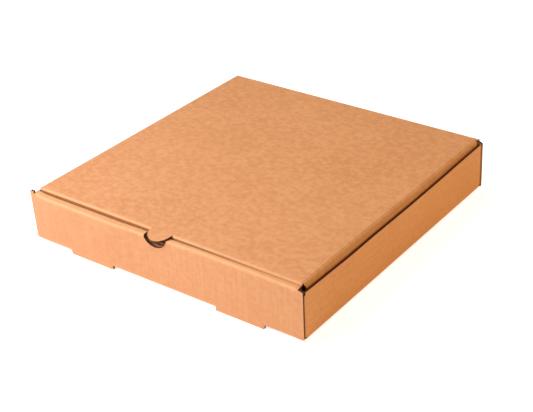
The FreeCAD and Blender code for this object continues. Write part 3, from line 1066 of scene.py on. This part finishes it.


# %% [markdown]
# The finish adds the patterns to one tone from 0 to 1, and the tone mixes the pulp between brown
# and pale. Over it come the strands, the paler folds with their painted highlight, the painted shade and
# the cut edges.
# The same patterns make the paper a little rough.

# %% Kraft paper
def kraft(name, pale, brown, fibre, ribs, cloud=1.0, bare=0.0):
    """Kraft paper: two shades of pulp, the fibres' shade, how much the flutes print through,
    how cloudy it is, and how much the bare cut edges show their own colours, light at the upright corners
    and dark painted shade on the tops of the side walls."""
    material = bpy.data.materials.new(name)
    material.use_nodes = True
    tree = material.node_tree
    shader = tree.nodes["Principled BSDF"]
    start = Wire(tree)
    spot = start.node("ShaderNodeTexCoord", output=3)
    sheet = start.node("ShaderNodeUVMap", {"uv_map": "UVMap"})

    clouds = spot.noise(**CLOUDS)
    drift = spot.noise(**DRIFT)
    long_fibres = sheet.noise(**LONG_FIBRES)
    cross_fibres = sheet.noise(**CROSS_FIBRES)
    streaks = sheet.noise(**STREAKS)
    apart = sheet.node("ShaderNodeSeparateXYZ", inputs={"Vector": sheet})
    phase = apart * (2 * math.pi / (PITCH * MM))
    rib = phase.math("SINE", phase) * spot.noise(**RIB_PATCHES).between(*RIB_RANGE)
    aside, wall, shade_share, upright, wall_top_shade = painted_shade_places(spot, bare)
    crease_mark = start.node("ShaderNodeAttribute", {"attribute_name": "crease"}, output=2)

    tone = (clouds - 0.5) * (TONES["clouds"] * cloud) * (1 - wall * WALL_CLOUDS)
    tone = tone + (streaks - 0.5) * wall * TONES["streaks"] + (drift - 0.5) * TONES["drift"]
    tone = tone + (long_fibres - 0.5) * TONES["long"] + (cross_fibres - 0.5) * TONES["cross"]
    tone = tone + rib * (TONES["ribs"] * ribs) + 0.5
    pulp = mix_colours(tone.between(0.0, 1.0), brown, pale)
    strands = long_fibres.between(*STRAND_RANGE)
    dark_strands = (1 - cross_fibres).between(*DARK_STRAND_RANGE)
    coloured = mix_colours(strands * STRAND_SHARE, pulp, pale)
    coloured = mix_colours(dark_strands * DARK_STRAND_SHARE, coloured, fibre)
    # Folds are paler, partly where the paper is stretched and partly as a painted highlight.
    stretch = crease_mark * (1 - aside.past(FOLD_END)) * STRETCH_AND_HIGHLIGHT
    with_painted_light = mix_colours(stretch, coloured, [min(1, PALER_AND_HIGHLIGHT * part) for part in pale])
    # Painted shade over the gap and the shoulders, then the colours of the cut edges.
    with_painted_light = mix_colours(shade_share, with_painted_light, SHADE_COLOUR)
    with_painted_light = mix_colours(upright, with_painted_light, UPRIGHT_EDGE)
    with_painted_light = mix_colours(wall_top_shade, with_painted_light, TOP_EDGE_SHADE)
    tree.links.new(with_painted_light.socket, shader.inputs["Base Color"])

    rough = ROUGHNESS + (clouds - 0.5) * ROUGH_CLOUDS + (cross_fibres - 0.5) * ROUGH_FIBRES
    tree.links.new(rough.socket, shader.inputs["Roughness"])
    shader.inputs["Specular IOR Level"].default_value = SPECULAR

    height = long_fibres * RELIEF["long"] + cross_fibres * RELIEF["cross"]
    height = height + clouds * RELIEF["clouds"] + rib * (RELIEF["ribs"] * ribs)
    bump = start.node("ShaderNodeBump", inputs={"Height": height, **BUMP})
    tree.links.new(bump.socket, shader.inputs["Normal"])
    return material


FIBRE = (0.42, 0.16, 0.05, 1)
outside = kraft("kraft_outside", (0.9, 0.41, 0.16, 1), (0.76, 0.31, 0.105, 1), FIBRE, ribs=1.0)
inside = kraft("kraft_inside", (0.84, 0.41, 0.185, 1), (0.7, 0.3, 0.11, 1), FIBRE, ribs=1.6)
# The cut edges and the fluted medium are darker than the faces: partly their own tone and partly painted
# shade of the gaps and the flute channels.
raw = kraft("cut_paper", (0.26, 0.1, 0.038, 1), (0.17, 0.06, 0.022, 1), FIBRE, ribs=0,
            cloud=0.5, bare=0.7)
medium = kraft("fluted_medium", (0.3, 0.125, 0.045, 1), (0.2, 0.075, 0.025, 1), FIBRE, ribs=0,
               cloud=0.5)
print("materials:", [material.name for material in (outside, inside, raw, medium)])

for piece in (tray, lid, crease):
    for slot, material in enumerate((outside, inside, raw, raw)):
        piece.data.materials[slot] = material
for piece in (tray_flutes, lid_flutes):
    piece.data.materials.clear()
    piece.data.materials.append(medium)
for node in frame["nodes"].values():
    node.data.materials.clear()
    node.data.materials.append(outside)

# %% [markdown]
# The studio: a broad soft lamp at the front left, which makes the front wall the brightest
# face, plain light from all around, and a weak warm lamp on the right, as light that comes back
# from a warm room. The floor is white where the camera looks and keeps the box's shadow.

# %% Floor, lamps and world
FLOOR_WHITE = (0.9, 0.9, 0.9, 1)
WHITE = (1, 1, 1, 1)
FLOOR_SIZE = 14
FLOOR_GLOW = 0.76
LAMP_TARGET = (0, 0, 0.03)
KEY_COLOUR = (0.9, 1.0, 1.48)
WARM_COLOUR = (1.0, 0.6, 0.12)
SKY_STRENGTH = 0.44
SKY_COLOUR = (1, 0.92, 0.65)


def camera_sees(wire):
    """1 for rays from the camera and for what gloss or glass shows."""
    path = wire.tree.nodes.new("ShaderNodeLightPath")
    rays = [Wire(wire.tree, path.outputs[name]) for name in
            ("Is Camera Ray", "Is Glossy Ray", "Is Transmission Ray")]
    return rays[0].math("MAXIMUM", rays[0], rays[1].math("MAXIMUM", rays[1], rays[2]))


def make_floor():
    bpy.ops.object.select_all(action="DESELECT")
    bpy.ops.mesh.primitive_plane_add(size=FLOOR_SIZE, location=(0, 0, 0))
    floor = bpy.context.object
    floor.name = "studio_floor"
    material = bpy.data.materials.new("studio_white")
    material.use_nodes = True
    tree = material.node_tree
    shader = tree.nodes["Principled BSDF"]
    shader.inputs["Base Color"].default_value = FLOOR_WHITE
    shader.inputs["Roughness"].default_value = 1
    shader.inputs["Specular IOR Level"].default_value = 0
    shader.inputs["Emission Color"].default_value = WHITE
    glow = camera_sees(Wire(tree)) * FLOOR_GLOW
    tree.links.new(glow.socket, shader.inputs["Emission Strength"])
    floor.data.materials.append(material)


def add_lamp(name, place, target, size, power, colour):
    data = bpy.data.lights.new(name, "AREA")
    data.size = size
    data.energy = power
    data.color = colour
    lamp = bpy.data.objects.new(name, data)
    bpy.context.collection.objects.link(lamp)
    lamp.location = place
    lamp.rotation_euler = (Vector(target) - Vector(place)).to_track_quat("-Z", "Y").to_euler()


def make_world(strength, colour):
    world = bpy.data.worlds.new("studio_world")
    bpy.context.scene.world = world
    world.use_nodes = True
    tree = world.node_tree
    background = tree.nodes["Background"]
    seen = camera_sees(Wire(tree))
    sky = mix_colours(seen, (*[strength * part for part in colour], 1), WHITE)
    tree.links.new(sky.socket, background.inputs["Color"])


make_floor()
add_lamp("key_lamp", (-0.52, -0.68, 0.7), LAMP_TARGET, size=0.6, power=9.5, colour=KEY_COLOUR)
add_lamp("warm_lamp", (1.6, 0.4, 0.5), LAMP_TARGET, size=0.8, power=5.5, colour=WARM_COLOUR)
make_world(SKY_STRENGTH, SKY_COLOUR)
bpy.context.scene.view_settings.view_transform = "Standard"

# %% [markdown]
# The tray's pieces and the lid's pieces are each told which body they move with. The crease
# keeps its place in the world, and the model's own solids are hidden.

for piece in (tray, tray_flutes):
    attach(piece, "tray")
for piece in (lid, lid_flutes):
    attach(piece, "lid")
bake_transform(crease)
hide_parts("tray")
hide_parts("lid")
